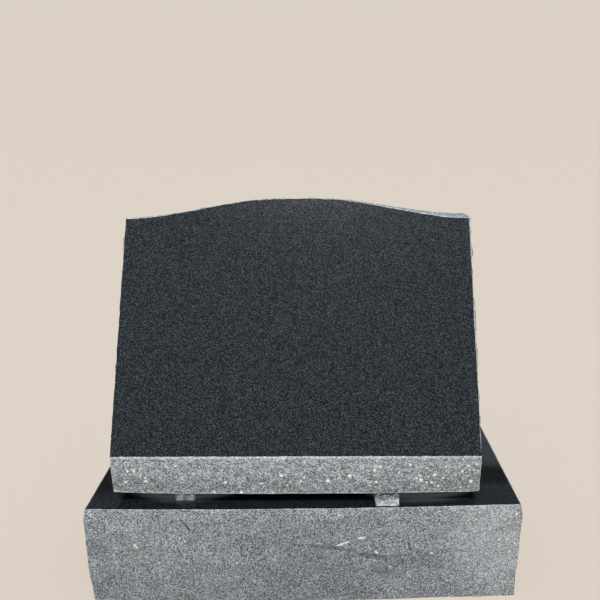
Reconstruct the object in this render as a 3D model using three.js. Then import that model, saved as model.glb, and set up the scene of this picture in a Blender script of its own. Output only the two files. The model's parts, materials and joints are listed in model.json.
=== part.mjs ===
// A slant headstone: a wedge-shaped granite tablet, held clear of a rock-pitched granite base by
// two rough bearers. Millimetres, +Z up, the polished slanted face looks towards -Y, and the
// origin is at the middle of the base's underside.
import * as THREE from "three";

// Tablet
const TABLET_WIDTH = 610;
const NOSING_HEIGHT = 66; // the upright rough strip under the slanted face
const SHOULDER_HEIGHT = 425; // top of the slanted face at its two sides
const CROWN_RISE = 32; // the serpentine top stands this far above the shoulders in the middle
const CROWN_LEVEL = 70; // level stretch in the middle of the crown
const TOP_THICKNESS = 42; // front to back, at the crown
const TOP_FALL = { left: 13, right: 3 }; // the pitched top drops this much towards the back
const FACE_LEAN_DEG = 29; // how far the polished face leans back from upright
const NOSING_BOW = 5; // the nosing runs out this far in the middle
// How far each pitched side stands past its arrises
const TABLET_SWELLS = { front: 3, back: 6, left: 3.5, right: 8, top: 1.5 };
const TABLET_TURN_DEG = -0.85; // it stands a little askew on the base, its right end forward

// Base
const FRONT_LEDGE = 14; // polished top left free around the tablet
const BACK_LEDGE = 32;
const LEFT_LEDGE = 44;
const RIGHT_LEDGE = 70;
const BASE_HEIGHT = 183;
const BASE_SWELLS = { front: 6.5, back: 8, left: 7.2, right: 4.4 };
const BASE_BOW = 6; // the front and back run out this far in the middle
const BASE_TAPER = { left: 3, right: 0.4 }; // each end stands this much further in at its foot

// Bearers
const BEARER_HEIGHT = 19.4;
const BEARER_LENGTH = 236;
const BEARER_SWELLS = { front: 1.6, back: 1.6, left: 1.6, right: 1.6 };
// Each is placed from the base's middle and from the front arris there
const LEFT_BEARER = { width: 30, fromMiddle: -200, fromFront: 26 };
const RIGHT_BEARER = { width: 36, fromMiddle: 138.5, fromFront: 5 };
const SEAT_CLEARANCE = 0.3; // between a bearer and the stone under or over it

// Pitched stone: shallow hollows that meet at ridges, where flakes came away
const FACET = 17; // spacing of the points on a pitched face
const BEARER_FACET = 9; // the same on a bearer
const TOP_ROWS = 4; // rows of points across the narrow top
const STRAY = 0.26; // how far a point strays from its place in the row, as a share of the spacing
const HOLLOW_WIDTH = 105; // spacing of the hollows along a face
const HOLLOW_HEIGHT = 66; // and up it
const HOLLOW_DEPTH = 5;
const HOLLOW_SHARE = 0.7; // no hollow is deeper than this share of the swell
const SWELL_REACH = 6; // distance below an arris in which most of the swell is reached
const ARRIS_CHIP = 0.7; // how far an arris strays inwards

const POLISHED = { color: 0x33393c, roughness: 0.2, metalness: 0 };
const PITCHED = { color: 0x8c9195, roughness: 0.9, metalness: 0 };

const { clamp, lerp, smoothstep, degToRad } = THREE.MathUtils;

const leanRun = Math.tan(degToRad(FACE_LEAN_DEG));
const crownHeight = SHOULDER_HEIGHT + CROWN_RISE;
const tabletDepth = (crownHeight - NOSING_HEIGHT) * leanRun + TOP_THICKNESS;
const baseWidth = LEFT_LEDGE + TABLET_WIDTH + RIGHT_LEDGE;
const baseDepth = FRONT_LEDGE + tabletDepth + BACK_LEDGE;
const bearerTop = BASE_HEIGHT + SEAT_CLEARANCE + BEARER_HEIGHT;

// A repeatable fraction from 0 to 1 for whole numbers.
function chance(...numbers) {
  let mixed = 2166136261;
  for (const number of numbers) {
    mixed = Math.imul(mixed ^ number, 16777619);
    mixed ^= mixed >>> 13;
    mixed = Math.imul(mixed, 1540483477);
    mixed ^= mixed >>> 15;
  }
  return (mixed >>> 0) / 4294967296;
}

// Height of the flaked surface from 0, the floor of a hollow, to 1, a ridge, at a place on a face.
function flaked(across, up, seed) {
  const column = Math.floor(across / HOLLOW_WIDTH);
  const row = Math.floor(up / HOLLOW_HEIGHT);
  let lowest = 1;
  for (let i = column - 1; i <= column + 1; i++) {
    for (let j = row - 1; j <= row + 1; j++) {
      const x = across / HOLLOW_WIDTH - i - chance(i, j, seed, 1);
      const y = up / HOLLOW_HEIGHT - j - chance(i, j, seed, 2);
      const floor = 0.45 * chance(i, j, seed, 3);
      lowest = Math.min(lowest, floor + x * x + y * y);
    }
  }
  return lowest;
}

// Outward offsets of a pitched face at its points, so that the proudest point stands at swell.
// points lists { across, up, reach }, where reach is the distance to the nearest drawn arris.
function pitchedOffsets(points, swell, seed) {
  const depth = Math.min(HOLLOW_DEPTH, HOLLOW_SHARE * swell);
  const offsets = points.map(({ across, up, reach }) => {
    const grown = 1 - Math.exp(-reach / SWELL_REACH);
    return grown * (swell - depth * (1 - flaked(across, up, seed)));
  });
  const proudest = Math.max(...offsets);
  return offsets.map((offset) => offset + Math.max(0, offset) * (swell / proudest - 1));
}

// The skin of a block of stone as a grid of I x J x K cells. surface(i, j, k) gives each point on it.
// A side named in flat is one plane: it is spanned from edge to edge without inner points.
function blockSkin([I, J, K], surface, flat, seed) {
  const points = [];
  const places = new Map();
  const triangles = [];
  const at = (i, j, k) => {
    const key = (i * (J + 1) + j) * (K + 1) + k;
    if (!places.has(key)) {
      places.set(key, points.length);
      points.push(surface(i, j, k));
    }
    return places.get(key);
  };
  // Each side runs along u and v, with u x v pointing outwards.
  const sides = {
    front: { u: I, v: K, at: (u, v) => at(u, 0, v) },
    back: { u: I, v: K, at: (u, v) => at(I - u, J, v) },
    left: { u: J, v: K, at: (u, v) => at(0, J - u, v) },
    right: { u: J, v: K, at: (u, v) => at(I, u, v) },
    top: { u: I, v: J, at: (u, v) => at(u, v, K) },
    bottom: { u: I, v: J, at: (u, v) => at(u, J - v, 0) },
  };
  Object.entries(sides).forEach(([name, side], number) => {
    const start = flat[name] ?? Infinity; // the row from which the side is flat
    for (let v = 0; v < Math.min(side.v, start); v++) {
      for (let u = 0; u < side.u; u++) {
        const [a, b] = [side.at(u, v), side.at(u + 1, v)];
        const [d, c] = [side.at(u, v + 1), side.at(u + 1, v + 1)];
        if (chance(u, v, number, seed) < 0.5) triangles.push(a, b, c, a, c, d);
        else triangles.push(a, b, d, b, c, d);
      }
    }
    if (start < side.v) triangles.push(...flatSpan(side, start));
  });
  const corners = points.flatMap((point) => point.toArray());
  return new THREE.BufferGeometry()
    .setAttribute("position", new THREE.Float32BufferAttribute(corners, 3))
    .setIndex(triangles);
}

// Triangles over a flat stretch of a side: strips from its lower to its upper edge, and a fan at
// each end that takes in the points of that end.
function flatSpan(side, start) {
  const triangles = [];
  for (let u = 1; u < side.u - 1; u++) {
    const [a, b] = [side.at(u, start), side.at(u + 1, start)];
    const [d, c] = [side.at(u, side.v), side.at(u + 1, side.v)];
    triangles.push(a, b, c, a, c, d);
  }
  const left = side.at(1, start);
  const right = side.at(side.u - 1, side.v);
  triangles.push(left, side.at(1, side.v), side.at(0, side.v));
  triangles.push(right, side.at(side.u - 1, start), side.at(side.u, start));
  for (let v = start; v < side.v; v++) {
    triangles.push(left, side.at(0, v + 1), side.at(0, v));
    triangles.push(right, side.at(side.u, v), side.at(side.u, v + 1));
  }
  return triangles;
}

// A block with pitched sides: plain(i, j, k) is a point of the block before pitching, isArris tells
// whether it is on a drawn arris, which chip then moves, and reach(point, side) is its distance to
// the nearest straight edge of that side. flat gives the row from which a side is flat, and swells
// how far each pitched side stands out.
function stoneBlock({ cells, plain, flat, isArris, reach, swells, seed, chip, material, name }) {
  const [I, J, K] = cells;
  const normals = {
    front: [(i, j) => j === 0, new THREE.Vector3(0, -1, 0), "x", "z"],
    back: [(i, j) => j === J, new THREE.Vector3(0, 1, 0), "x", "z"],
    left: [(i) => i === 0, new THREE.Vector3(-1, 0, 0), "y", "z"],
    right: [(i) => i === I, new THREE.Vector3(1, 0, 0), "y", "z"],
    top: [(i, j, k) => k === K, new THREE.Vector3(0, 0, 1), "x", "y"],
  };
  const moved = new Map();
  const key = (i, j, k) => (i * (J + 1) + j) * (K + 1) + k;
  Object.entries(normals).forEach(([side, [isOn, normal, acrossAxis, upAxis]], number) => {
    if (flat[side] === 0) return;
    const found = [];
    for (let i = 0; i <= I; i++) {
      for (let j = 0; j <= J; j++) {
        for (let k = 0; k <= K; k++) {
          if (!isOn(i, j, k) || (flat[side] !== undefined && k >= flat[side])) continue;
          const point = plain(i, j, k);
          const place = { across: point[acrossAxis], up: point[upAxis], reach: reach(point, side) };
          found.push({ key: key(i, j, k), place });
        }
      }
    }
    const offsets = pitchedOffsets(found.map((one) => one.place), swells[side], seed + number);
    found.forEach((one, n) => {
      const move = moved.get(one.key) ?? new THREE.Vector3();
      moved.set(one.key, move.addScaledVector(normal, offsets[n]));
    });
  });
  const surface = (i, j, k) => {
    const point = plain(i, j, k);
    const move = moved.get(key(i, j, k)) ?? new THREE.Vector3();
    if (k === 0) move.z = 0;
    return isArris(i, j, k) ? chip(point, i, j, k) : point.add(move);
  };
  const mesh = new THREE.Mesh(
    blockSkin(cells, surface, flat, seed),
    new THREE.MeshStandardMaterial(material),
  );
  mesh.name = name;
  return mesh;
}

// The place of row n of count between two sizes, straying a little unless it is at either end.
function row(n, count, low, high, ...numbers) {
  const stray = n === 0 || n === count ? 0 : STRAY * (2 * chance(n, ...numbers) - 1);
  return lerp(low, high, (n + stray) / count);
}

// How far the front and back of the base run out at a distance from its middle.
function baseBow(x) {
  return BASE_BOW * (1 - (2 * x / baseWidth) ** 2);
}

function makeBase() {
  const I = Math.round(baseWidth / FACET);
  const J = Math.round(baseDepth / FACET);
  const K = Math.round(BASE_HEIGHT / FACET);
  const plain = (i, j, k) => {
    const x = row(i, I, -baseWidth / 2, baseWidth / 2, j, k, 1);
    const y = row(j, J, -baseDepth / 2, baseDepth / 2, i, k, 2);
    const z = row(k, K, 0, BASE_HEIGHT, i, j, 3);
    const taper = lerp(BASE_TAPER.left, BASE_TAPER.right, x / baseWidth + 0.5);
    const inset = taper * (1 - z / BASE_HEIGHT) * (2 * x / baseWidth);
    return new THREE.Vector3(x - inset, y + baseBow(x) * (2 * y / baseDepth), z);
  };
  return stoneBlock({
    name: "base",
    material: PITCHED,
    cells: [I, J, K],
    plain,
    flat: { top: 0, bottom: 0 },
    swells: BASE_SWELLS,
    seed: 11,
    isArris: (i, j, k) => k === K,
    reach: (point) => BASE_HEIGHT - point.z,
    chip: (point, i, j) => {
      const inward = 1 - (ARRIS_CHIP * chance(i, j, 4)) / Math.hypot(point.x, point.y);
      return point.set(point.x * inward, point.y * inward, point.z);
    },
  });
}

// Height of the serpentine top: level at the crown, then an S-curve down to each shoulder.
function topHeight(x) {
  const fall = smoothstep(Math.abs(x), CROWN_LEVEL / 2, TABLET_WIDTH / 2);
  return SHOULDER_HEIGHT + CROWN_RISE * (1 - fall);
}

function makeTablet() {
  const I = Math.round(TABLET_WIDTH / FACET);
  const J = Math.round(tabletDepth / 2 / FACET) + TOP_ROWS;
  const nosingRows = Math.round(NOSING_HEIGHT / FACET);
  const K = nosingRows + Math.round((SHOULDER_HEIGHT - NOSING_HEIGHT) / FACET);
  const faceAt = (z) => Math.max(0, z - NOSING_HEIGHT) * leanRun;
  const plain = (i, j, k) => {
    const x = row(i, I, -TABLET_WIDTH / 2, TABLET_WIDTH / 2, j, k, 5);
    const z =
      k <= nosingRows
        ? row(k, nosingRows, 0, NOSING_HEIGHT, i, j, 6)
        : row(k - nosingRows, K - nosingRows, NOSING_HEIGHT, topHeight(x), i, j, 7);
    const bow = j === 0 ? NOSING_BOW * (1 - (2 * x / TABLET_WIDTH) ** 2) : 0;
    const fade = clamp(1 - z / NOSING_HEIGHT, 0, 1);
    const y = row(j, J, faceAt(z), tabletDepth, i, k, 8);
    const fall = lerp(TOP_FALL.left, TOP_FALL.right, x / TABLET_WIDTH + 0.5);
    const drop = k === K ? fall * (y - faceAt(z)) / (tabletDepth - faceAt(z)) : 0;
    return new THREE.Vector3(x, y - bow * fade, z - drop);
  };
  const mesh = stoneBlock({
    name: "tablet",
    material: PITCHED,
    cells: [I, J, K],
    plain,
    flat: { front: nosingRows, bottom: 0 },
    swells: TABLET_SWELLS,
    seed: 23,
    isArris: (i, j, k) =>
      j === 0 && k >= nosingRows && (i === 0 || i === I || k === K || k === nosingRows),
    reach: ({ x, y, z }, side) => {
      if (side === "front") return Math.min(NOSING_HEIGHT - z, TABLET_WIDTH / 2 - Math.abs(x));
      return Math.max(0, y - faceAt(z)) * Math.cos(degToRad(FACE_LEAN_DEG));
    },
    chip: (point, i, j, k) => {
      const chipped = ARRIS_CHIP * chance(i, k, 9);
      if (i === 0 || i === I) point.x -= Math.sign(point.x) * chipped;
      if (k === K) point.z -= chipped;
      return point.setY(faceAt(point.z));
    },
  });
  const x = -baseWidth / 2 + LEFT_LEDGE + TABLET_WIDTH / 2;
  mesh.position.set(x, -baseDepth / 2 + FRONT_LEDGE, bearerTop + SEAT_CLEARANCE);
  mesh.rotation.z = degToRad(TABLET_TURN_DEG);
  return mesh;
}

function makeBearer(name, { width, fromMiddle, fromFront }, seed) {
  const I = Math.round(width / BEARER_FACET);
  const J = Math.round(BEARER_LENGTH / BEARER_FACET);
  const K = Math.round(BEARER_HEIGHT / BEARER_FACET);
  const plain = (i, j, k) =>
    new THREE.Vector3(
      row(i, I, -width / 2, width / 2, j, k, seed),
      row(j, J, 0, BEARER_LENGTH, i, k, seed),
      row(k, K, 0, BEARER_HEIGHT, i, j, seed),
    );
  const mesh = stoneBlock({
    name,
    material: PITCHED,
    cells: [I, J, K],
    plain,
    flat: { top: 0, bottom: 0 },
    swells: BEARER_SWELLS,
    seed,
    isArris: () => false,
    reach: () => Infinity,
    chip: (point) => point,
  });
  const frontArris = -baseDepth / 2 - baseBow(fromMiddle);
  mesh.position.set(fromMiddle, frontArris + fromFront, BASE_HEIGHT + SEAT_CLEARANCE);
  return mesh;
}

const headstone = new THREE.Group();
headstone.add(
  makeBase(),
  makeTablet(),
  makeBearer("left_bearer", LEFT_BEARER, 31),
  makeBearer("right_bearer", RIGHT_BEARER, 37),
);

export default headstone;
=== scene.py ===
"""A slant headstone of fine dark granite: a polished, bare slanted face with rock-pitched sides,
on two rough bearers and a rock-pitched base with a polished top. Metres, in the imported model's frame."""

import json
import math

import bmesh
import bpy
import numpy as np
from mathutils import Matrix, Vector


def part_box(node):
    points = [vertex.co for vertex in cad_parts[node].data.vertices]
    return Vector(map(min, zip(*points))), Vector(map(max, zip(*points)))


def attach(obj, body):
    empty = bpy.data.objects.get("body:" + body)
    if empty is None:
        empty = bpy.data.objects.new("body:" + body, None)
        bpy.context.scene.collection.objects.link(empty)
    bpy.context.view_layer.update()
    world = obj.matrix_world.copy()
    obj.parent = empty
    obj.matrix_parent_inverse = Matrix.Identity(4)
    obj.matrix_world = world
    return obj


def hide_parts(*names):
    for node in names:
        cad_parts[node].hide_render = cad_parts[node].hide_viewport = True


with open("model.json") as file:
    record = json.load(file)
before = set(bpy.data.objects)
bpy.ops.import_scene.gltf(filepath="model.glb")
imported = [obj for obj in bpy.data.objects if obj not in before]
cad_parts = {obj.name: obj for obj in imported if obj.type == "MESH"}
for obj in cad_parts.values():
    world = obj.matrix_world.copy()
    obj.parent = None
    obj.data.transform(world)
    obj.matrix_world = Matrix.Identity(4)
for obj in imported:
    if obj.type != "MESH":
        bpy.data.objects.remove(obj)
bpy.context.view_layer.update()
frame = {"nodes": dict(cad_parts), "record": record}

MM = 0.001
UP = Vector((0, 0, 1))
DOWN = Vector((0, 0, -1))

# Points of a CAD mesh closer than MERGE are one point. A face within FLAT_WITHIN of a plane is in it
MERGE = 0.01 * MM
FLAT_WITHIN = 0.03 * MM

# The finish of a face of a stone, kept on the mesh as a whole number
PITCHED, POLISHED, SAWN = 0, 1, 2

# Camera, fitted to the corners of the stones in the photograph
CAMERA_PLACE = (0.0251, -1.0172, 0.8109)
CAMERA_PITCH = math.radians(17.29)
CAMERA_YAW = math.radians(0.927)
CAMERA_ROLL = math.radians(0.106)
PHOTO_WIDTH = 600
FOCAL_PIXELS = 610.2
CENTRE_PIXEL_X = 327.3
SENSOR_WIDTH = 36
FARTHEST_SEEN = 200


def linear(hex_colour):
    """A colour written as sRGB hex, as linear RGBA."""
    shares = [int(hex_colour[i : i + 2], 16) / 255 for i in (1, 3, 5)]
    return [s / 12.92 if s <= 0.04045 else ((s + 0.055) / 1.055) ** 2.4 for s in shares] + [1.0]


def add(tree, kind, inputs=None, **settings):
    """Adds a node with its settings. An input given as a socket is linked, any other is its value."""
    made = tree.nodes.new(kind)
    for name, value in settings.items():
        setattr(made, name, value)
    for key, value in (inputs or {}).items():
        if isinstance(value, bpy.types.NodeSocket):
            tree.links.new(value, made.inputs[key])
        else:
            made.inputs[key].default_value = value
    return made


def mount_plane(name):
    """Point and outward normal of a flat mount of the record."""
    mount = next(m for m in frame["record"]["mounts"] if m["name"] == name)
    return Vector(mount["pos_m"]), Vector(mount["axis"]).normalized()


# Stones

# Corners of a block: an edge bent by more than the angle is sharp, and a point is on a corner
# from this share of sharp edges on. The spread is in rounds of blur, and the relief keeps the
# last share of its depth there
CORNER_ANGLE = math.radians(48)
CORNER_LEAST = 0.05
CORNER_SPREAD = 2
CORNER_RELIEF = 0.3

# Rounds of smoothing that wear the facets off the plain solid
WEAR_ROUNDS = 26

# From and to which depth behind the polished plane the wear, the scars and the grit grow to full
WEAR_GROWS = (0.2 * MM, 6 * MM)
SCARS_GROW = (0.5 * MM, 9 * MM)
GRIT_GROWS = (0.2 * MM, 2.5 * MM)

# Waves about 36 mm long push the scars out of round by up to about 11 mm each way
STIR_WAVES_PER_METRE = 28.0
STIR = 22 * MM

# A scar is a bowl: its depth rises with this power of the way from its middle, less a share
BOWL_POWER = 1.7
BOWL_MIDDLE = 0.35

# Where along y the back's bolder scars begin and are in full. They are only on faces whose normal
# rises or falls by no more than this
BACK_BEGINS = -20 * MM
BACK_IN_FULL = 60 * MM
UPRIGHT_WITHIN = 0.5

# Chips along an arris, about 9 mm long: the part of the noise that bites, and how far back they reach
CHIPS_PER_METRE = 110.0
CHIP_BEGINS = 0.42
CHIP_IN_FULL = 0.78
CHIP_REACH = 5 * MM

# A point this close to the height of a bed lies on it
LEVEL_WITHIN = 0.01 * MM

# A surface counts as at least this steep against the polished plane, or the way along it from
# the arris would have no end
LEAST_STEEPNESS = 0.3

PITCHING_INPUTS = {
    "Geometry": "NodeSocketGeometry",
    "Face point": "NodeSocketVector",
    "Face normal": "NodeSocketVector",
    "Flake size": "NodeSocketVector",
    "Flake depth": "NodeSocketFloat",
    "Back boldness": "NodeSocketFloat",
    "Spall size": "NodeSocketFloat",
    "Spall depth": "NodeSocketFloat",
    "Grit size": "NodeSocketFloat",
    "Grit depth": "NodeSocketFloat",
    "Chip depth": "NodeSocketFloat",
    "Lowest": "NodeSocketFloat",
    "Highest": "NodeSocketFloat",
    "Seed": "NodeSocketVector",
    "Pitched": "NodeSocketMaterial",
    "Polished": "NodeSocketMaterial",
    "Sawn": "NodeSocketMaterial",
}


def grown(tree, reach, depths):
    """0 at the arris, rising smoothly to 1 between two depths behind the polished plane."""
    start, end = depths
    return add(
        tree, "ShaderNodeMapRange", {0: reach, 1: start, 2: end, 3: 0.0, 4: 1.0},
        interpolation_type="SMOOTHSTEP",
    ).outputs[0]


def keep_levels(tree, given, place, wanted):
    """The wanted place, with the height of points on the flat beds left as it was."""
    old = add(tree, "ShaderNodeSeparateXYZ", {0: place}).outputs
    new = add(tree, "ShaderNodeSeparateXYZ", {0: wanted}).outputs
    low = add(
        tree, "ShaderNodeMath", {0: old["Z"], 1: given["Lowest"], 2: LEVEL_WITHIN}, operation="COMPARE"
    )
    high = add(
        tree, "ShaderNodeMath", {0: old["Z"], 1: given["Highest"], 2: LEVEL_WITHIN}, operation="COMPARE"
    )
    bed = add(tree, "ShaderNodeMath", {0: low.outputs[0], 1: high.outputs[0]}, operation="MAXIMUM")
    clipped = add(tree, "ShaderNodeClamp", {0: new["Z"], 1: given["Lowest"], 2: given["Highest"]})
    level = add(
        tree, "GeometryNodeSwitch",
        {"Switch": bed.outputs[0], "False": clipped.outputs[0], "True": old["Z"]},
        input_type="FLOAT",
    )
    return add(tree, "ShaderNodeCombineXYZ", {0: new["X"], 1: new["Y"], 2: level.outputs[0]}).outputs[0]


def distances(tree, given, place, normal):
    """How far a point lies behind the plane of the polished face, and about how far it is from that
    plane along the stone's own surface."""
    behind = add(tree, "ShaderNodeVectorMath", {0: given["Face point"], 1: place}, operation="SUBTRACT")
    reach = add(
        tree, "ShaderNodeVectorMath", {0: behind.outputs[0], 1: given["Face normal"]},
        operation="DOT_PRODUCT",
    ).outputs["Value"]
    slope = add(
        tree, "ShaderNodeVectorMath", {0: normal, 1: given["Face normal"]}, operation="CROSS_PRODUCT"
    ).outputs[0]
    steepness = add(tree, "ShaderNodeVectorMath", {0: slope}, operation="LENGTH").outputs["Value"]
    steep = add(tree, "ShaderNodeMath", {0: steepness, 1: LEAST_STEEPNESS}, operation="MAXIMUM")
    along = add(tree, "ShaderNodeMath", {0: reach, 1: steep.outputs[0]}, operation="DIVIDE")
    return reach, along.outputs[0]


def mark_corners(tree, geometry):
    """The geometry with corner kept on its points, 1 on the sharp edges of the block, and a value
    that also fades out over a few points beside them."""
    angle = add(tree, "GeometryNodeInputMeshEdgeAngle").outputs["Unsigned Angle"]
    sharp = add(tree, "ShaderNodeMath", {0: angle, 1: CORNER_ANGLE}, operation="GREATER_THAN")
    on_edges = add(
        tree, "GeometryNodeStoreNamedAttribute",
        {"Geometry": geometry, "Name": "sharp", "Value": sharp.outputs[0]},
        data_type="FLOAT", domain="EDGE",
    )
    met = add(tree, "GeometryNodeInputNamedAttribute", {"Name": "sharp"}, data_type="FLOAT").outputs[0]
    on_points = add(tree, "ShaderNodeMath", {0: met, 1: CORNER_LEAST}, operation="GREATER_THAN")
    marked = add(
        tree, "GeometryNodeStoreNamedAttribute",
        {"Geometry": on_edges.outputs[0], "Name": "corner", "Value": on_points.outputs[0]},
        data_type="FLOAT", domain="POINT",
    )
    corner = add(tree, "GeometryNodeInputNamedAttribute", {"Name": "corner"}, data_type="FLOAT").outputs[0]
    beside = add(
        tree, "GeometryNodeBlurAttribute", {"Value": corner, "Iterations": CORNER_SPREAD},
        data_type="FLOAT",
    ).outputs[0]
    held = add(tree, "ShaderNodeMath", {0: corner, 1: beside}, operation="MAXIMUM")
    return marked.outputs[0], held.outputs[0]


def wear_facets(tree, given, place, reach, held, geometry):
    """Rounds off the facets of the plain solid. The arris and the corners stay as they are."""
    loose = add(tree, "ShaderNodeMath", {0: 1.0, 1: held}, operation="SUBTRACT").outputs[0]
    weight = add(
        tree, "ShaderNodeMath", {0: grown(tree, reach, WEAR_GROWS), 1: loose}, operation="MULTIPLY"
    )
    worn = add(
        tree, "GeometryNodeBlurAttribute",
        {"Value": place, "Iterations": WEAR_ROUNDS, "Weight": weight.outputs[0]},
        data_type="FLOAT_VECTOR",
    ).outputs[0]
    return add(
        tree, "GeometryNodeSetPosition",
        {"Geometry": geometry, "Position": keep_levels(tree, given, place, worn)},
    ).outputs[0]


def bowls(tree, place, size, depth):
    """Bowls round scattered points, which meet at sharp ridges."""
    shrunk = add(tree, "ShaderNodeVectorMath", {0: place, 1: size}, operation="DIVIDE")
    cells = add(tree, "ShaderNodeTexVoronoi", {"Vector": shrunk.outputs[0], "Scale": 1.0})
    dish = add(tree, "ShaderNodeMath", {0: cells.outputs["Distance"], 1: BOWL_POWER}, operation="POWER")
    risen = add(tree, "ShaderNodeMath", {0: dish.outputs[0], 1: BOWL_MIDDLE}, operation="SUBTRACT")
    return add(tree, "ShaderNodeMath", {0: risen.outputs[0], 1: depth}, operation="MULTIPLY").outputs[0]


def scar_depth(tree, given, place, normal):
    """The depth of the flake scars, bolder on the back and towards it, but not on the top."""
    depth_along = add(tree, "ShaderNodeSeparateXYZ", {0: place}).outputs["Y"]
    upwards = add(tree, "ShaderNodeSeparateXYZ", {0: normal}).outputs["Z"]
    upright = add(tree, "ShaderNodeMath", {0: upwards, 1: 0.0, 2: UPRIGHT_WITHIN}, operation="COMPARE")
    extra = add(
        tree, "ShaderNodeMapRange",
        {0: depth_along, 1: BACK_BEGINS, 2: BACK_IN_FULL, 3: 0.0, 4: given["Back boldness"]},
        interpolation_type="SMOOTHSTEP",
    )
    bolder = add(
        tree, "ShaderNodeMath", {0: upright.outputs[0], 1: extra.outputs[0], 2: 1.0},
        operation="MULTIPLY_ADD",
    )
    return add(
        tree, "ShaderNodeMath", {0: given["Flake depth"], 1: bolder.outputs[0]}, operation="MULTIPLY"
    ).outputs[0]


def grit_height(tree, given, seeded):
    """The finest relief: crumbs of broken stone."""
    scale = add(tree, "ShaderNodeMath", {0: 1.0, 1: given["Grit size"]}, operation="DIVIDE")
    noise = add(
        tree, "ShaderNodeTexNoise",
        {"Vector": seeded, "Scale": scale.outputs[0], "Detail": 3.0, "Roughness": 0.65},
    ).outputs["Fac"]
    centred = add(tree, "ShaderNodeMapRange", {0: noise, 1: 0.0, 2: 1.0, 3: -1.0, 4: 1.0}, clamp=False)
    return add(
        tree, "ShaderNodeMath", {0: centred.outputs[0], 1: given["Grit depth"]}, operation="MULTIPLY"
    ).outputs[0]


def relief_height(tree, given, seeded, place, normal, reach, held):
    """Height of the relief: flake scars, spalls and grit, calmer at the corners, less the marks."""
    stir = add(
        tree, "ShaderNodeTexNoise", {"Vector": seeded, "Scale": STIR_WAVES_PER_METRE, "Detail": 2.0}
    )
    stirred = add(
        tree, "ShaderNodeVectorMath", {0: stir.outputs["Color"], 1: (STIR,) * 3, 2: seeded},
        operation="MULTIPLY_ADD",
    ).outputs[0]
    scars = bowls(tree, stirred, given["Flake size"], scar_depth(tree, given, place, normal))
    large = add(
        tree, "ShaderNodeMath", {0: scars, 1: grown(tree, reach, SCARS_GROW)}, operation="MULTIPLY"
    )
    each_way = given["Spall size"]
    spall_size = add(tree, "ShaderNodeCombineXYZ", {0: each_way, 1: each_way, 2: each_way}).outputs[0]
    spalls = bowls(tree, stirred, spall_size, given["Spall depth"])
    small = add(tree, "ShaderNodeMath", {0: spalls, 1: grit_height(tree, given, seeded)}, operation="ADD")
    both = add(
        tree, "ShaderNodeMath",
        {0: small.outputs[0], 1: grown(tree, reach, GRIT_GROWS), 2: large.outputs[0]},
        operation="MULTIPLY_ADD",
    )
    calm = add(tree, "ShaderNodeMapRange", {0: held, 1: 0.0, 2: 1.0, 3: 1.0, 4: CORNER_RELIEF})
    height = add(tree, "ShaderNodeMath", {0: both.outputs[0], 1: calm.outputs[0]}, operation="MULTIPLY")
    carved = add(tree, "GeometryNodeInputNamedAttribute", {"Name": "cut"}, data_type="FLOAT").outputs[0]
    return add(
        tree, "ShaderNodeMath", {0: height.outputs[0], 1: carved}, operation="SUBTRACT"
    ).outputs[0]


def arris_chips(tree, given, seeded, normal, reach):
    """Chips in the arris: inwards, along the polished plane."""
    out_of_plane = add(
        tree, "ShaderNodeVectorMath", {0: normal, 1: given["Face normal"]}, operation="DOT_PRODUCT"
    ).outputs["Value"]
    across = add(
        tree, "ShaderNodeVectorMath", {0: given["Face normal"], "Scale": out_of_plane}, operation="SCALE"
    )
    in_plane = add(tree, "ShaderNodeVectorMath", {0: normal, 1: across.outputs[0]}, operation="SUBTRACT")
    outwards = add(tree, "ShaderNodeVectorMath", {0: in_plane.outputs[0]}, operation="NORMALIZE")
    nibbles = add(
        tree, "ShaderNodeTexNoise",
        {"Vector": seeded, "Scale": CHIPS_PER_METRE, "Detail": 4.0, "Roughness": 0.6},
    ).outputs["Fac"]
    bitten = add(
        tree, "ShaderNodeMapRange", {0: nibbles, 1: CHIP_BEGINS, 2: CHIP_IN_FULL, 3: 0.0, 4: -1.0}
    )
    near = add(
        tree, "ShaderNodeMapRange", {0: reach, 1: 0.0, 2: CHIP_REACH, 3: 1.0, 4: 0.0},
        interpolation_type="SMOOTHSTEP",
    )
    chip = add(tree, "ShaderNodeMath", {0: bitten.outputs[0], 1: near.outputs[0]}, operation="MULTIPLY")
    depth = add(
        tree, "ShaderNodeMath", {0: chip.outputs[0], 1: given["Chip depth"]}, operation="MULTIPLY"
    )
    return add(
        tree, "ShaderNodeVectorMath", {0: outwards.outputs[0], "Scale": depth.outputs[0]},
        operation="SCALE",
    ).outputs[0]


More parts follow.
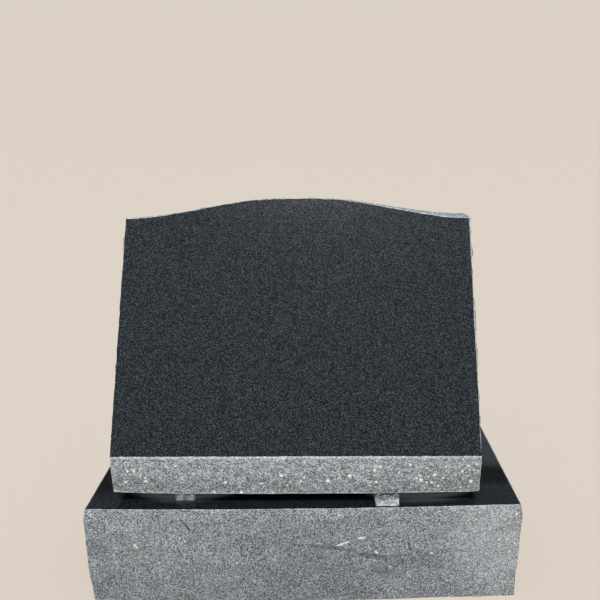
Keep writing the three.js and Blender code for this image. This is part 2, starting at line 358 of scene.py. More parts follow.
def pitching_tree():
    """Geometry Nodes that turn a finely cut copy of a stone into pitched granite.

    Facets are worn smooth, then hollows where flakes came away, smaller spalls and grit are cut
    into every pitched face. The relief fades out towards the polished face's plane, where only
    small chips eat into the arris, within that plane."""
    tree = bpy.data.node_groups.new("pitched stone", "GeometryNodeTree")
    for name, kind in PITCHING_INPUTS.items():
        tree.interface.new_socket(name, in_out="INPUT", socket_type=kind)
    tree.interface.new_socket("Geometry", in_out="OUTPUT", socket_type="NodeSocketGeometry")
    given = add(tree, "NodeGroupInput").outputs
    place = add(tree, "GeometryNodeInputPosition").outputs[0]
    normal = add(tree, "GeometryNodeInputNormal").outputs[0]

    reach, along = distances(tree, given, place, normal)
    kept = add(
        tree, "GeometryNodeStoreNamedAttribute",
        {"Geometry": given["Geometry"], "Name": "from_arris", "Value": along},
        data_type="FLOAT", domain="POINT",
    ).outputs[0]
    marked, held = mark_corners(tree, kept)
    smooth = wear_facets(tree, given, place, reach, held, marked)

    seeded = add(tree, "ShaderNodeVectorMath", {0: place, 1: given["Seed"]}, operation="ADD").outputs[0]
    height = relief_height(tree, given, seeded, place, normal, reach, held)
    relief = add(tree, "ShaderNodeVectorMath", {0: normal, "Scale": height}, operation="SCALE").outputs[0]
    chips = arris_chips(tree, given, seeded, normal, reach)
    moved = add(tree, "ShaderNodeVectorMath", {0: place, 1: relief}, operation="ADD").outputs[0]
    cut = add(tree, "ShaderNodeVectorMath", {0: moved, 1: chips}, operation="ADD").outputs[0]
    rough = add(
        tree, "GeometryNodeSetPosition",
        {"Geometry": smooth, "Position": keep_levels(tree, given, place, cut)},
    ).outputs[0]

    finish = add(tree, "GeometryNodeInputNamedAttribute", {"Name": "finish"}, data_type="INT").outputs[0]
    done = add(tree, "GeometryNodeRealizeInstances", {"Geometry": rough}).outputs[0]
    for number, name in ((PITCHED, "Pitched"), (POLISHED, "Polished"), (SAWN, "Sawn")):
        chosen = add(
            tree, "FunctionNodeCompare", {2: finish, 3: number}, data_type="INT", operation="EQUAL"
        )
        done = add(
            tree, "GeometryNodeSetMaterial",
            {"Geometry": done, "Selection": chosen.outputs[0], "Material": given[name]},
        ).outputs[0]
    add(tree, "NodeGroupOutput", {"Geometry": done})
    return tree


def finely_cut(node, planes, cuts):
    """A mesh of a CAD stone with each flat face as one polygon and its pitched faces cut fine.

    planes lists the flat faces: point, normal and finish."""
    stone = bmesh.new()
    stone.from_mesh(frame["nodes"][node].data)
    bmesh.ops.remove_doubles(stone, verts=stone.verts, dist=MERGE)
    finish = stone.faces.layers.int.new("finish")
    for point, normal, kind in planes:
        flat = [
            face for face in stone.faces
            if all(abs((v.co - point) @ normal) < FLAT_WITHIN for v in face.verts)
        ]
        for face in flat:
            face[finish] = kind
        whole = bmesh.ops.dissolve_faces(stone, faces=flat)["region"]
        for face in whole:
            face[finish] = kind
    edges = [e for e in stone.edges if any(face[finish] == PITCHED for face in e.link_faces)]
    bmesh.ops.subdivide_edges(stone, edges=edges, cuts=cuts, use_grid_fill=True)
    for face in stone.faces:
        face.smooth = face[finish] == PITCHED
    for edge in stone.edges:
        edge.smooth = len({face[finish] for face in edge.link_faces}) == 1
    mesh = bpy.data.meshes.new(node)
    stone.to_mesh(mesh)
    stone.free()
    return mesh


# A face turned this much towards -Y belongs to the front
FRONT_FACING = -0.4
# How the flanks of a cut mark curve
MARK_FLANK = 1.5


def carve_front(mesh, marks):
    """Stores how deep the marks are cut into a front, in metres, as the attribute cut. A mark is
    a stroke from one place to another on the front, as (x, z), with its width, tone and depth."""
    count = len(mesh.vertices)
    places, normals = (np.empty(3 * count, dtype=np.float32) for _ in range(2))
    mesh.vertices.foreach_get("co", places)
    mesh.vertices.foreach_get("normal", normals)
    flat = places.reshape(-1, 3)[:, [0, 2]]
    is_front = normals.reshape(-1, 3)[:, 1] < FRONT_FACING
    cut = np.zeros(count)
    for start, end, width, _, depth in marks:
        a = np.array(start)
        along = np.array(end) - a
        share = np.clip((flat - a) @ along / (along @ along), 0, 1)
        away = np.linalg.norm(flat - (a + share[:, None] * along), axis=1) / (width / 2)
        cut = np.maximum(cut, depth * np.clip(1 - away**2, 0, 1) ** MARK_FLANK * is_front)
    layer = mesh.attributes.new("cut", "FLOAT", "POINT")
    layer.data.foreach_set("value", cut.astype(np.float32))


def make_stone(node, name, planes, cuts, face, relief, materials, marks=()):
    """Builds the finished stone that stands for a CAD node."""
    cut_mesh = finely_cut(node, planes, cuts)
    carve_front(cut_mesh, marks)
    raw = bpy.data.objects.new("raw " + node, cut_mesh)
    bpy.context.scene.collection.objects.link(raw)
    low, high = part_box(node)
    pitching = raw.modifiers.new("pitching", "NODES")
    pitching.node_group = PITCHING
    values = {
        "Face point": face[0], "Face normal": face[1],
        "Lowest": low.z, "Highest": high.z,
        **relief, **materials,
    }
    for socket in PITCHING.interface.items_tree:
        if socket.in_out == "INPUT" and socket.name in values:
            pitching[socket.identifier] = values[socket.name]
    graph = bpy.context.evaluated_depsgraph_get()
    mesh = bpy.data.meshes.new_from_object(raw.evaluated_get(graph), depsgraph=graph)
    bpy.data.objects.remove(raw)
    mesh.name = name
    stone = bpy.data.objects.new(name, mesh)
    bpy.context.scene.collection.objects.link(stone)
    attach(stone, "root")
    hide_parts(node)


# Granite

GRANITE_IOR = 1.54

# A patch on a polished face is full up to this share of its size and fades out to its rim
PATCH_CORE = 0.55
# How much duller the palest crystals of a polished face are
HAZE = 0.05

# Strokes: the size of their ragged bits, how far those push the edge, and the shares of the
# width over which a stroke fades. Behind STROKES_FADE along y it is gone
STROKE_BITS = 5 * MM
STROKE_PUSH = 7 * MM
STROKE_FULL = 0.1
STROKE_GONE = 0.5
STROKES_FADE = (-150 * MM, -30 * MM)

# A stroke's effect on the grain. From STRONG on, it also covers the grain
STROKE_SHIFT = 0.6
STRONG = 0.3
CRUSHED_STONE = "#f7f0e8"
# A dark colour for the darkest marks, those in cracks
DARK_IN_CRACKS = "#1d2225"

# Painted glints, pale spots for glinting feldspar: the size of their ragged bits, and the push of
# those, the smallest glint, its full core and its rim as shares of a glint's size. They thin out
# between two distances from the arris, to the share that is left, and are likelier where a stroke is pale
GLINT_BITS = 2.2 * MM
GLINT_PUSH = 0.9
GLINT_SMALLEST = 0.4
GLINT_CORE = 0.75
GLINT_RIM = 1.15
GLINTS_THIN_OUT = (42 * MM, 54 * MM)
GLINTS_LEFT = 0.1
GLINTS_IN_PALE = 2.2

# The bruise: the clots over which it grows from faint to full and from line to pale bits, the
# shares of its width over which it fades, and the nearness to a corner over which it grows there
BRUISE_PATCHES = (0.36, 0.52)
BRUISE_BITS = (0.54, 0.6)
BRUISE_FADES = (0.5, 1.1)
BRUISE_CORNERS = (0.1, 0.8)

# Clots of grains that cling together
CLOT_SIZE = 4 * MM

# A sawn bed. A wave texture has a band about every 0.31 of its unit, so the marks lie about
# 19 mm apart, far coarser than real ones, which would not show
SAWN_CRYSTALS = 2.3 * MM
SAW_MARK_UNIT = 60 * MM
SAW_MARK_SHARE = 0.25


def stone_material(name):
    """A new material with its tree, shader and the object's own coordinates."""
    material = bpy.data.materials.new(name)
    material.use_nodes = True
    tree = material.node_tree
    place = add(tree, "ShaderNodeTexCoord").outputs["Object"]
    return material, tree, tree.nodes["Principled BSDF"], place


def crystals(tree, place, size):
    """A random value from 0 to 1 for each crystal of about that size."""
    cells = add(tree, "ShaderNodeTexVoronoi", {"Vector": place, "Scale": 1 / size})
    return add(tree, "ShaderNodeSeparateColor", {0: cells.outputs["Color"]}).outputs[0]


def shades(tree, value, stops):
    """Turns a value into colours: stops are pairs of a position and an sRGB hex."""
    ramp = add(tree, "ShaderNodeValToRGB", {0: value})
    elements = ramp.color_ramp.elements
    while len(elements) < len(stops):
        elements.new(0.5)
    for element, (position, colour) in zip(elements, stops):
        element.position = position
        element.color = linear(colour)
    return ramp.outputs["Color"]


def with_patch(tree, place, colour, patch):
    """The colour with one soft oval patch laid over it."""
    shifted = add(tree, "ShaderNodeVectorMath", {0: place, 1: patch["middle"]}, operation="SUBTRACT")
    squeezed = add(
        tree, "ShaderNodeVectorMath", {0: shifted.outputs[0], 1: (*patch["half_sizes"], 1.0)},
        operation="DIVIDE",
    )
    away = add(tree, "ShaderNodeVectorMath", {0: squeezed.outputs[0]}, operation="LENGTH")
    inside = add(
        tree, "ShaderNodeMapRange",
        {0: away.outputs["Value"], 1: PATCH_CORE, 2: 1.0, 3: patch["strength"], 4: 0.0},
        interpolation_type="SMOOTHSTEP",
    )
    return add(
        tree, "ShaderNodeMix", {0: inside.outputs[0], 6: colour, 7: linear(patch["colour"])},
        data_type="RGBA",
    ).outputs[2]


def polished_granite(name, crystal_size, stops, roughness, mirror=0.5, patches=()):
    """Fine-grained dark granite, sawn, honed and polished: grains of black mica, grey feldspar
    and quartz a millimetre or two across under a glassy, slightly uneven gloss. patches are
    soft ovals laid over its colour, for painted light, painted reflections and bruised lines."""
    material, tree, shader, place = stone_material(name)
    grain = crystals(tree, place, crystal_size)
    colour = shades(tree, grain, stops)
    for patch in patches:
        colour = with_patch(tree, place, colour, patch)
    tree.links.new(colour, shader.inputs["Base Color"])
    haze = add(
        tree, "ShaderNodeMapRange", {0: grain, 1: 0.0, 2: 1.0, 3: roughness, 4: roughness + HAZE}
    )
    tree.links.new(haze.outputs[0], shader.inputs["Roughness"])
    shader.inputs["Specular IOR Level"].default_value = mirror
    shader.inputs["IOR"].default_value = GRANITE_IOR
    return material


def stroke_tone(tree, place, marks):
    """Tone of the marks on the front, from -1 for dark to 1 for pale. Each mark is a ragged stroke
    from one place to another, as (x, z), with its width, tone and depth."""
    noise = add(tree, "ShaderNodeTexNoise", {"Vector": place, "Scale": 1 / STROKE_BITS, "Detail": 3.0})
    centred = add(
        tree, "ShaderNodeVectorMath", {0: noise.outputs["Color"], 1: (0.5,) * 3}, operation="SUBTRACT"
    )
    pushed = add(
        tree, "ShaderNodeVectorMath", {0: centred.outputs[0], 1: (STROKE_PUSH,) * 3, 2: place},
        operation="MULTIPLY_ADD",
    )
    flat = add(
        tree, "ShaderNodeVectorMath", {0: pushed.outputs[0], 1: (1.0, 0.0, 1.0)}, operation="MULTIPLY"
    ).outputs[0]
    total = 0.0
    for (start_x, start_z), (end_x, end_z), width, tone, _ in marks:
        run = Vector((end_x - start_x, 0, end_z - start_z))
        passed = add(
            tree, "ShaderNodeVectorMath", {0: flat, 1: (start_x, 0, start_z)}, operation="SUBTRACT"
        ).outputs[0]
        share = add(
            tree, "ShaderNodeVectorMath", {0: passed, 1: run / run.length_squared},
            operation="DOT_PRODUCT",
        )
        held = add(tree, "ShaderNodeClamp", {0: share.outputs["Value"]})
        nearest = add(tree, "ShaderNodeVectorMath", {0: run, "Scale": held.outputs[0]}, operation="SCALE")
        away = add(
            tree, "ShaderNodeVectorMath", {0: passed, 1: nearest.outputs[0]}, operation="DISTANCE"
        ).outputs["Value"]
        shown = add(
            tree, "ShaderNodeMapRange",
            {0: away, 1: STROKE_FULL * width, 2: STROKE_GONE * width, 3: tone, 4: 0.0},
            interpolation_type="SMOOTHSTEP",
        )
        total = add(tree, "ShaderNodeMath", {0: total, 1: shown.outputs[0]}, operation="ADD").outputs[0]
    depth = add(tree, "ShaderNodeSeparateXYZ", {0: place}).outputs["Y"]
    front, behind = STROKES_FADE
    in_front = add(
        tree, "ShaderNodeMapRange", {0: depth, 1: front, 2: behind, 3: 1.0, 4: 0.0},
        interpolation_type="SMOOTHSTEP",
    )
    return add(tree, "ShaderNodeMath", {0: total, 1: in_front.outputs[0]}, operation="MULTIPLY").outputs[0]


def mottled(tree, place, clots, tone, from_arris, grain, cloud, shade):
    """How pale the broken stone is: single grains, clots and broad patches, shifted by the marks
    and by painted shade that changes with the distance from the arris."""
    broad = add(
        tree, "ShaderNodeTexNoise",
        {"Vector": place, "Scale": 1 / cloud["size"], "Detail": 4.0, "Roughness": 0.55},
    ).outputs["Fac"]
    grains = crystals(tree, place, grain["size"])
    speckled = add(tree, "ShaderNodeMix", {0: grain["clotted"], 2: grains, 3: clots}, data_type="FLOAT")
    uneven = add(
        tree, "ShaderNodeMix", {0: cloud["share"], 2: speckled.outputs[0], 3: broad}, data_type="FLOAT"
    )
    toned = add(
        tree, "ShaderNodeMath", {0: tone, 1: STROKE_SHIFT, 2: uneven.outputs[0]},
        operation="MULTIPLY_ADD",
    )
    # Painted shade: the tone shifts between two distances from the arris
    shading = add(
        tree, "ShaderNodeMapRange",
        {0: from_arris, 1: shade["near"], 2: shade["far"], 3: shade["at_near"], 4: shade["at_far"]},
        interpolation_type="SMOOTHSTEP",
    )
    return add(
        tree, "ShaderNodeMath", {0: toned.outputs[0], 1: shading.outputs[0]}, operation="ADD"
    ).outputs[0]


def with_strong_marks(tree, colour, tone):
    """Strong marks cover the grain: pale crushed stone, or a dark colour in a crack."""
    paler = add(tree, "ShaderNodeMapRange", {0: tone, 1: STRONG, 2: 1.0, 3: 0.0, 4: 1.0})
    darker = add(tree, "ShaderNodeMapRange", {0: tone, 1: -1.0, 2: -STRONG, 3: 1.0, 4: 0.0})
    pale = add(
        tree, "ShaderNodeMix", {0: paler.outputs[0], 6: colour, 7: linear(CRUSHED_STONE)},
        data_type="RGBA",
    )
    return add(
        tree, "ShaderNodeMix", {0: darker.outputs[0], 6: pale.outputs[2], 7: linear(DARK_IN_CRACKS)},
        data_type="RGBA",
    ).outputs[2]


def with_painted_glints(tree, place, colour, tone, from_arris, glint):
    """Painted glints of broken feldspar: pale spots in the colour, each a ragged spot in its own cell."""
    size = glint["size"]
    spacing = glint["spacing"]
    ragged = add(tree, "ShaderNodeTexNoise", {"Vector": place, "Scale": 1 / GLINT_BITS, "Detail": 1.0})
    pushed = add(
        tree, "ShaderNodeVectorMath",
        {0: ragged.outputs["Color"], 1: (GLINT_PUSH * size,) * 3, 2: place}, operation="MULTIPLY_ADD",
    )
    cells = add(tree, "ShaderNodeTexVoronoi", {"Vector": pushed.outputs[0], "Scale": 1 / spacing})
    chosen = add(tree, "ShaderNodeSeparateColor", {0: cells.outputs["Color"]}).outputs
    thinning, thinned = GLINTS_THIN_OUT
    rarer = add(
        tree, "ShaderNodeMapRange",
        {
            0: from_arris, 1: thinning, 2: thinned,
            3: 1 - glint["share"], 4: 1 - GLINTS_LEFT * glint["share"],
        },
    )
    likelier = add(
        tree, "ShaderNodeMath", {0: tone, 1: GLINTS_IN_PALE, 2: chosen[1]}, operation="MULTIPLY_ADD"
    )
    rare = add(
        tree, "ShaderNodeMath", {0: likelier.outputs[0], 1: rarer.outputs[0]}, operation="GREATER_THAN"
    )
    widest = 0.5 * size / spacing
    width = add(
        tree, "ShaderNodeMapRange", {0: chosen[2], 1: 0.0, 2: 1.0, 3: GLINT_SMALLEST * widest, 4: widest}
    )
    outward = add(
        tree, "ShaderNodeMath", {0: cells.outputs["Distance"], 1: width.outputs[0]}, operation="DIVIDE"
    )
    core = add(
        tree, "ShaderNodeMapRange", {0: outward.outputs[0], 1: GLINT_CORE, 2: GLINT_RIM, 3: 1.0, 4: 0.0}
    )
    glinting = add(tree, "ShaderNodeMath", {0: rare.outputs[0], 1: core.outputs[0]}, operation="MULTIPLY")
    beyond = add(tree, "ShaderNodeMath", {0: from_arris, 1: glint["from_arris"]}, operation="GREATER_THAN")
    shown = add(
        tree, "ShaderNodeMath", {0: glinting.outputs[0], 1: beyond.outputs[0]}, operation="MULTIPLY"
    )
    return add(
        tree, "ShaderNodeMix", {0: shown.outputs[0], 6: colour, 7: linear(glint["colour"])},
        data_type="RGBA",
    ).outputs[2]


def with_bruise(tree, clots, colour, from_arris, bruise):
    """The bruise: crushed stone in a thin line behind the polished face, fainter along other
    edges, and patchy."""
    faint, full = BRUISE_PATCHES
    patchy = add(tree, "ShaderNodeMapRange", {0: clots, 1: faint, 2: full, 3: bruise["least"], 4: 1.0})
    corner = add(tree, "ShaderNodeAttribute", attribute_name="corner").outputs["Fac"]
    beside, on_it = BRUISE_CORNERS
    edge = add(tree, "ShaderNodeMapRange", {0: corner, 1: beside, 2: on_it, 3: 0.0, 4: bruise["edges"]})
    rubbed = add(tree, "ShaderNodeMath", {0: edge.outputs[0], 1: patchy.outputs[0]}, operation="MULTIPLY")
    edged = add(
        tree, "ShaderNodeMix", {0: rubbed.outputs[0], 6: colour, 7: linear(bruise["colour"])},
        data_type="RGBA",
    )
    solid, gone = (share * bruise["width"] for share in BRUISE_FADES)
    arris = add(tree, "ShaderNodeMapRange", {0: from_arris, 1: solid, 2: gone, 3: 1.0, 4: 0.0})
    bruised = add(tree, "ShaderNodeMath", {0: arris.outputs[0], 1: patchy.outputs[0]}, operation="MULTIPLY")
    line = bruise["colour"]
    line_ends, bits_begin = BRUISE_BITS
    crushed = shades(tree, clots, [(0.0, line), (line_ends, line), (bits_begin, bruise["bits"])])
    return add(
        tree, "ShaderNodeMix", {0: bruised.outputs[0], 6: edged.outputs[2], 7: crushed},
        data_type="RGBA",
    ).outputs[2]


def pitched_granite(name, grain, cloud, shade, stops, glint, bruise, marks=()):
    """The same granite split with a pitching tool: the broken crystals scatter light, so it is
    pale grey, matt and speckled, with painted glints of feldspar and a bruised pale line along arrises.

    grain gives the size and depth of the grains and the share that cling together in clots, and
    cloud the size and share of broad patches. shade is painted shade, how much the stone darkens:
    the shift at two distances from its arris. glint and bruise hold the settings of the painted glints and
    the line."""
    material, tree, shader, place = stone_material(name)
    clots = add(
        tree, "ShaderNodeTexNoise",
        {"Vector": place, "Scale": 1 / CLOT_SIZE, "Detail": 2.0, "Roughness": 0.6},
    ).outputs["Fac"]
    tone = stroke_tone(tree, place, marks)
    from_arris = add(tree, "ShaderNodeAttribute", attribute_name="from_arris").outputs["Fac"]
    body = shades(tree, mottled(tree, place, clots, tone, from_arris, grain, cloud, shade), stops)
    marked = with_strong_marks(tree, body, tone)
    lit = with_painted_glints(tree, place, marked, tone, from_arris, glint)
    tree.links.new(with_bruise(tree, clots, lit, from_arris, bruise), shader.inputs["Base Color"])
    shader.inputs["Roughness"].default_value = 0.8
    shader.inputs["IOR"].default_value = GRANITE_IOR

    crumb = add(
        tree, "ShaderNodeTexNoise",
        {"Vector": place, "Scale": 1 / grain["size"], "Detail": 1.0, "Roughness": 0.6},
    ).outputs["Fac"]
    bump = add(tree, "ShaderNodeBump", {"Strength": 0.6, "Distance": grain["depth"], "Height": crumb})
    tree.links.new(bump.outputs[0], shader.inputs["Normal"])
    return material


def sawn_granite(name, dark, light):
    """Granite straight from the saw: flat, matt mid grey, with faint parallel saw marks."""
    material, tree, shader, place = stone_material(name)
    marks = add(
        tree, "ShaderNodeTexWave",
        {"Vector": place, "Scale": 1 / SAW_MARK_UNIT, "Distortion": 1.5, "Detail": 2.0},
        bands_direction="Y",
    ).outputs["Fac"]
    grain = crystals(tree, place, SAWN_CRYSTALS)
    mixed = add(tree, "ShaderNodeMix", {0: SAW_MARK_SHARE, 2: grain, 3: marks}, data_type="FLOAT")
    colour = shades(tree, mixed.outputs[0], [(0.0, dark), (1.0, light)])
    tree.links.new(colour, shader.inputs["Base Color"])
    shader.inputs["Roughness"].default_value = 0.7
    return material


LEDGE_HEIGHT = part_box("base")[1].z


def on_top(x, y, half_length, half_width, colour, strength):
    """A soft oval patch on the base's top."""
    return {
        "middle": Vector((x, y, LEDGE_HEIGHT)),
        "half_sizes": (half_length, half_width),
        "colour": colour,
        "strength": strength,
    }


# The first four colours are painted light: two for light in the gap under the tablet, one for dark
# reflections and one for a sheen on the ledges. The last two are the bruised side arrises
PAINTED_LIGHT_IN_GAP = "#4c555b"
PAINTED_LIGHT_DEEP_IN_GAP = "#d4dce0"
PAINTED_DARK_REFLECTION = "#020304"
PAINTED_SHEEN = "#525b60"
RIGHT_ARRIS = "#b4bdc4"
LEFT_ARRIS = "#8e979e"

# Painted light on the base's top: pale patches in the gap beside the bearers, palest deep in the gap
# where it lies in shadow, painted dark reflections at the back of the ledges, a painted sheen on the
# right one, and the bruised line along the two side arrises. Places and half sizes are in metres
TOP_PATCHES = [
    # painted light in the gap beside each bearer, paler where the gap lies in shadow
    on_top(-0.204, -0.108, 0.104, 0.034, PAINTED_LIGHT_IN_GAP, 0.8),
    on_top(-0.204, -0.107, 0.100, 0.026, PAINTED_LIGHT_DEEP_IN_GAP, 1.0),
    on_top(0.196, -0.116, 0.108, 0.034, PAINTED_LIGHT_IN_GAP, 0.8),
    on_top(0.190, -0.115, 0.100, 0.022, PAINTED_LIGHT_DEEP_IN_GAP, 1.0),
    # painted dark reflections at the back of the two ledges
    on_top(-0.345, -0.050, 0.056, 0.080, PAINTED_DARK_REFLECTION, 1.0),
    on_top(0.338, -0.066, 0.070, 0.034, PAINTED_DARK_REFLECTION, 1.0),
    # a painted sheen at the back of the right ledge
    on_top(0.350, 0.030, 0.080, 0.080, PAINTED_SHEEN, 0.25),
    on_top(0.3618, 0.0, 0.0024, 0.30, RIGHT_ARRIS, 0.4),
    on_top(-0.3618, 0.0, 0.0020, 0.30, LEFT_ARRIS, 0.7),
]

# Marks on the base's front, with painted light and shade among them: from (x, z) to (x, z), width, tone and
# depth
BASE_MARKS_AND_PAINTED_LIGHT = [
    # a dark crack at the upper left, a pale flake, a painted highlight on a faint ridge, and a darker patch
    ((-0.205, 0.166), (-0.199, 0.158), 3.2 * MM, -0.6, 0.8 * MM),
    ((-0.199, 0.158), (-0.190, 0.146), 3.8 * MM, -0.8, 1.0 * MM),
    ((-0.285, 0.117), (-0.280, 0.110), 4.0 * MM, 0.9, 0.0),
    ((-0.324, 0.102), (-0.317, 0.068), 7 * MM, 0.25, 0.0),
    ((-0.352, 0.116), (-0.334, 0.106), 34 * MM, -0.14, 0.0),
    # pale flakes right of the middle
    ((0.051, 0.113), (0.062, 0.117), 4.8 * MM, 0.75, 0.0),
    ((0.062, 0.117), (0.073, 0.120), 6.4 * MM, 0.8, 0.0),
    ((0.091, 0.126), (0.100, 0.127), 6.6 * MM, 0.9, 0.0),
    # painted shade in the hollow that runs under them
    ((0.006, 0.111), (0.050, 0.109), 11 * MM, -0.16, 1.2 * MM),
    ((0.050, 0.109), (0.095, 0.092), 10 * MM, -0.12, 1.2 * MM),
    ((0.095, 0.092), (0.138, 0.085), 13 * MM, -0.24, 2.0 * MM),
    ((0.138, 0.085), (0.180, 0.092), 10 * MM, -0.12, 1.0 * MM),
    # a short crack and single pale bits
    ((0.174, 0.116), (0.180, 0.101), 4.0 * MM, -0.6, 0.8 * MM),
    ((0.120, 0.098), (0.123, 0.097), 5.0 * MM, 0.9, 0.0),
    ((0.145, 0.066), (0.147, 0.064), 4.6 * MM, 0.8, 0.0),
    ((0.214, 0.095), (0.216, 0.092), 5.0 * MM, 0.9, 0.0),
    # painted light and shade: paler ends, where the bowed front catches more light, and darker parts
    # towards the middle
    ((0.310, 0.150), (0.325, 0.080), 220 * MM, 0.21, 0.0),
    ((-0.300, 0.140), (-0.240, 0.120), 150 * MM, 0.04, 0.0),
    ((-0.040, 0.080), (0.040, 0.060), 230 * MM, -0.08, 0.0),
    ((0.150, 0.060), (0.200, 0.075), 60 * MM, -0.10, 1.5 * MM),
]
# Painted light: two pale lumps low on the left bearer's end, where light reaches under the nosing,
# and a painted highlight along the right one's lower edge
PAINTED_LIGHT_ON_BEARERS = [
    ((-0.210, 0.187), (-0.207, 0.190), 15 * MM, 0.6, 0.0),
    ((-0.192, 0.187), (-0.189, 0.190), 15 * MM, 0.6, 0.0),
    ((0.124, 0.185), (0.154, 0.185), 5 * MM, 0.5, 0.0),
]

PITCHING = pitching_tree()
POLISHED_FACE = polished_granite(
    "polished dark granite",
    crystal_size=1.1 * MM,
    stops=[(0.0, "#010203"), (0.35, "#0a1013"), (0.7, "#242c31"), (1.0, "#505b62")],
    roughness=0.115,
)
POLISHED_TOP = polished_granite(
    "polished granite top",
    crystal_size=1.1 * MM,
    stops=[(0.0, "#080c0f"), (0.5, "#12181c"), (1.0, "#2c353a")],
    roughness=0.1,
    mirror=0.2,
    patches=TOP_PATCHES,
)
# The shade settings are painted shade: the tablet darker away from its arris, down its nosing, the base
# darker low on its front, and each bearer darker in a band under its top
PITCHED_TABLET = pitched_granite(
    "pitched granite tablet",
    grain={"size": 1.6 * MM, "depth": 0.2 * MM, "clotted": 0.22},
    cloud={"size": 13 * MM, "share": 0.32},
    shade={"near": 15 * MM, "far": 50 * MM, "at_near": 0.0, "at_far": -0.06},
    stops=[(0.22, "#434b52"), (0.5, "#8a959d"), (0.78, "#d3dbe1")],
    glint={"colour": "#fbeee2", "size": 6.4 * MM, "spacing": 10 * MM, "share": 0.4, "from_arris": 9 * MM},
    bruise={"colour": "#bcc5cb", "bits": "#f4eadf", "width": 4.6 * MM, "edges": 0.6, "least": 0.22},
)
PITCHED_BASE = pitched_granite(
    "pitched granite base",
    grain={"size": 1.1 * MM, "depth": 0.4 * MM, "clotted": 0.1},
    cloud={"size": 34 * MM, "share": 0.17},
    shade={"near": 60 * MM, "far": 170 * MM, "at_near": 0.0, "at_far": -0.035},
    stops=[(0.18, "#2b3238"), (0.5, "#707b85"), (0.82, "#cbd5dc")],
    glint={"colour": "#e8ddd2", "size": 4.2 * MM, "spacing": 8 * MM, "share": 0.08, "from_arris": 0.0},
    bruise={"colour": "#a2abb2", "bits": "#cfd6da", "width": 1.8 * MM, "edges": 0.2, "least": 0.2},
    marks=BASE_MARKS_AND_PAINTED_LIGHT,
)
SPLIT_BEARER = pitched_granite(
    "split granite bearer",
    grain={"size": 1.7 * MM, "depth": 0.4 * MM, "clotted": 0.6},
    cloud={"size": 34 * MM, "share": 0.2},
    shade={"near": 2 * MM, "far": 8 * MM, "at_near": -0.3, "at_far": 0.0},
    stops=[(0.2, "#535c63"), (0.5, "#a6b0b8"), (0.8, "#eef2f5")],
    glint={"colour": "#fff6ec", "size": 5 * MM, "spacing": 7 * MM, "share": 0.3, "from_arris": 0.0},
    bruise={"colour": "#a8aeb2", "bits": "#c8ced2", "width": 0.8 * MM, "edges": 0.3, "least": 0.2},
    marks=PAINTED_LIGHT_ON_BEARERS,
)
SAWN_BED = sawn_granite("sawn granite bed", "#565c60", "#7e8488")
# A darker bed for the bearers' tops
DARK_BED = sawn_granite("dark sawn granite", "#1b1e20", "#3c4144")


def make_base():
    ledge, ledge_normal = mount_plane("right_ledge")
    low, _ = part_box("base")
    make_stone(
        "base", "base_stone",
        planes=[(ledge, ledge_normal, POLISHED), (low, DOWN, SAWN)],
        cuts=7,
        face=(ledge, ledge_normal),
        relief={
            "Flake size": (62 * MM, 62 * MM, 40 * MM), "Flake depth": 4.2 * MM, "Back boldness": 0.5,
            "Spall size": 17 * MM, "Spall depth": 1.2 * MM,
            "Grit size": 6 * MM, "Grit depth": 0.45 * MM,
            "Chip depth": 1.0 * MM, "Seed": (3.1, 0.7, 5.3),
        },
        materials={"Pitched": PITCHED_BASE, "Polished": POLISHED_TOP, "Sawn": SAWN_BED},
        marks=BASE_MARKS_AND_PAINTED_LIGHT,
    )


def make_tablet():
    slant, slant_normal = mount_plane("slanted_face")
    low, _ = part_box("tablet")
    make_stone(
        "tablet", "tablet_stone",
        planes=[(slant, slant_normal, POLISHED), (low, DOWN, SAWN)],
        cuts=5,
        face=(slant, slant_normal),
        relief={
            "Flake size": (34 * MM, 34 * MM, 24 * MM), "Flake depth": 3.2 * MM, "Back boldness": 1.6,
            "Spall size": 11 * MM, "Spall depth": 1.5 * MM,
            "Grit size": 5 * MM, "Grit depth": 0.6 * MM,
            "Chip depth": 1.0 * MM, "Seed": (8.4, 2.6, 1.9),
        },
        materials={"Pitched": PITCHED_TABLET, "Polished": POLISHED_FACE, "Sawn": SAWN_BED},
    )


def make_bearers():
    """The two split strips. Their upper bed takes the place of the polished face, and their own
    places give them different seeds."""
    for node in ("left_bearer", "right_bearer"):
        low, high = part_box(node)
        make_stone(
            node, node + "_stone",
            planes=[(low, DOWN, SAWN), (high, UP, POLISHED)],
            cuts=5,
            face=(high, UP),
            relief={
                "Flake size": (13 * MM, 13 * MM, 11 * MM), "Flake depth": 4.0 * MM, "Back boldness": 0.0,
                "Spall size": 6 * MM, "Spall depth": 1.2 * MM,
                "Grit size": 4 * MM, "Grit depth": 0.8 * MM,
                "Chip depth": 12.0 * MM, "Seed": (low.x * 9, 4.2, 6.6),
            },
            materials={"Pitched": SPLIT_BEARER, "Polished": DARK_BED, "Sawn": SAWN_BED},
        )


# Studio

FLOOR_HALF = 60


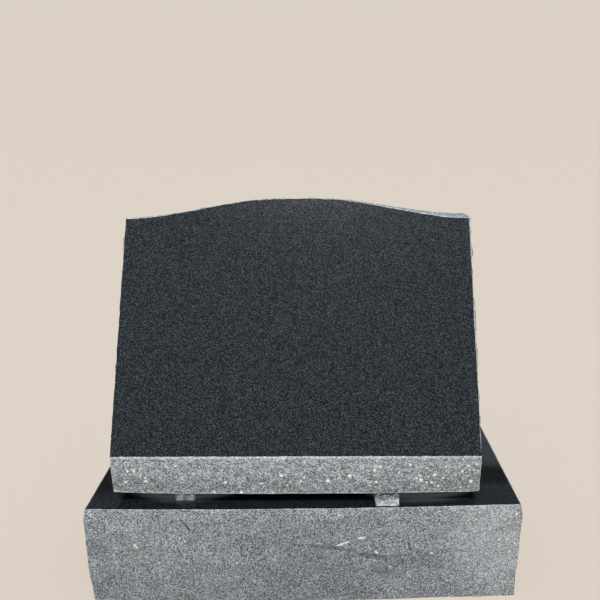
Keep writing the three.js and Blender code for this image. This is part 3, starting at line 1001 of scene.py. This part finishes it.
def make_camera():
    """The photograph's viewpoint: turned by yaw, tipped down by pitch, then rolled."""
    level = math.cos(CAMERA_PITCH)
    ahead = Vector(
        (math.sin(CAMERA_YAW) * level, math.cos(CAMERA_YAW) * level, -math.sin(CAMERA_PITCH))
    )
    right = Vector((math.cos(CAMERA_YAW), -math.sin(CAMERA_YAW), 0))
    below = ahead.cross(right)
    rolled = math.cos(CAMERA_ROLL) * right + math.sin(CAMERA_ROLL) * below
    rolled_below = math.cos(CAMERA_ROLL) * below - math.sin(CAMERA_ROLL) * right
    data = bpy.data.cameras.new("camera")
    data.sensor_width = SENSOR_WIDTH
    data.lens = FOCAL_PIXELS * SENSOR_WIDTH / PHOTO_WIDTH
    data.shift_x = (PHOTO_WIDTH / 2 - CENTRE_PIXEL_X) / PHOTO_WIDTH
    data.clip_end = FARTHEST_SEEN
    camera = bpy.data.objects.new("camera", data)
    turned = Matrix((rolled, -rolled_below, -ahead)).transposed().to_4x4()
    camera.matrix_world = Matrix.Translation(CAMERA_PLACE) @ turned
    bpy.context.scene.collection.objects.link(camera)
    bpy.context.scene.camera = camera


def make_floor():
    """A plain pale studio floor that runs to the horizon."""
    corners = [(x * FLOOR_HALF, y * FLOOR_HALF, 0) for x, y in ((-1, -1), (1, -1), (1, 1), (-1, 1))]
    mesh = bpy.data.meshes.new("floor")
    mesh.from_pydata(corners, [], [(0, 1, 2, 3)])
    floor = bpy.data.objects.new("floor", mesh)
    bpy.context.scene.collection.objects.link(floor)
    material = bpy.data.materials.new("pale floor")
    material.use_nodes = True
    shader = material.node_tree.nodes["Principled BSDF"]
    shader.inputs["Base Color"].default_value = linear("#d8cdc1")
    shader.inputs["Roughness"].default_value = 0.9
    mesh.materials.append(material)


def make_light():
    """Soft daylight from high in front. It stands above what the slanted face mirrors towards
    the camera."""
    sun = bpy.data.lights.new("soft key", "SUN")
    sun.energy = 2.5
    sun.angle = math.radians(16)
    sun.color = (1.0, 0.985, 0.96)
    key = bpy.data.objects.new("soft key", sun)
    falls = Vector((0.0, 0.48, -1.0))
    key.rotation_euler = falls.to_track_quat("-Z", "Y").to_euler()
    bpy.context.scene.collection.objects.link(key)


def make_sky():
    """A dim sky that is paler at the horizon and a little overhead."""
    world = bpy.data.worlds.new("studio")
    bpy.context.scene.world = world
    world.use_nodes = True
    tree = world.node_tree
    direction = add(tree, "ShaderNodeTexCoord").outputs["Generated"]
    height = add(tree, "ShaderNodeSeparateXYZ", {0: direction}).outputs["Z"]
    colour = shades(tree, height, [(0.16, "#dbd1c5"), (0.36, "#7c7f82"), (1.0, "#aeb2b6")])
    tree.links.new(colour, tree.nodes["Background"].inputs["Color"])
    tree.nodes["Background"].inputs["Strength"].default_value = 1.0


make_camera()
make_base()
make_tablet()
make_bearers()
make_floor()
make_light()
make_sky()
bpy.context.scene.view_settings.view_transform = "Standard"
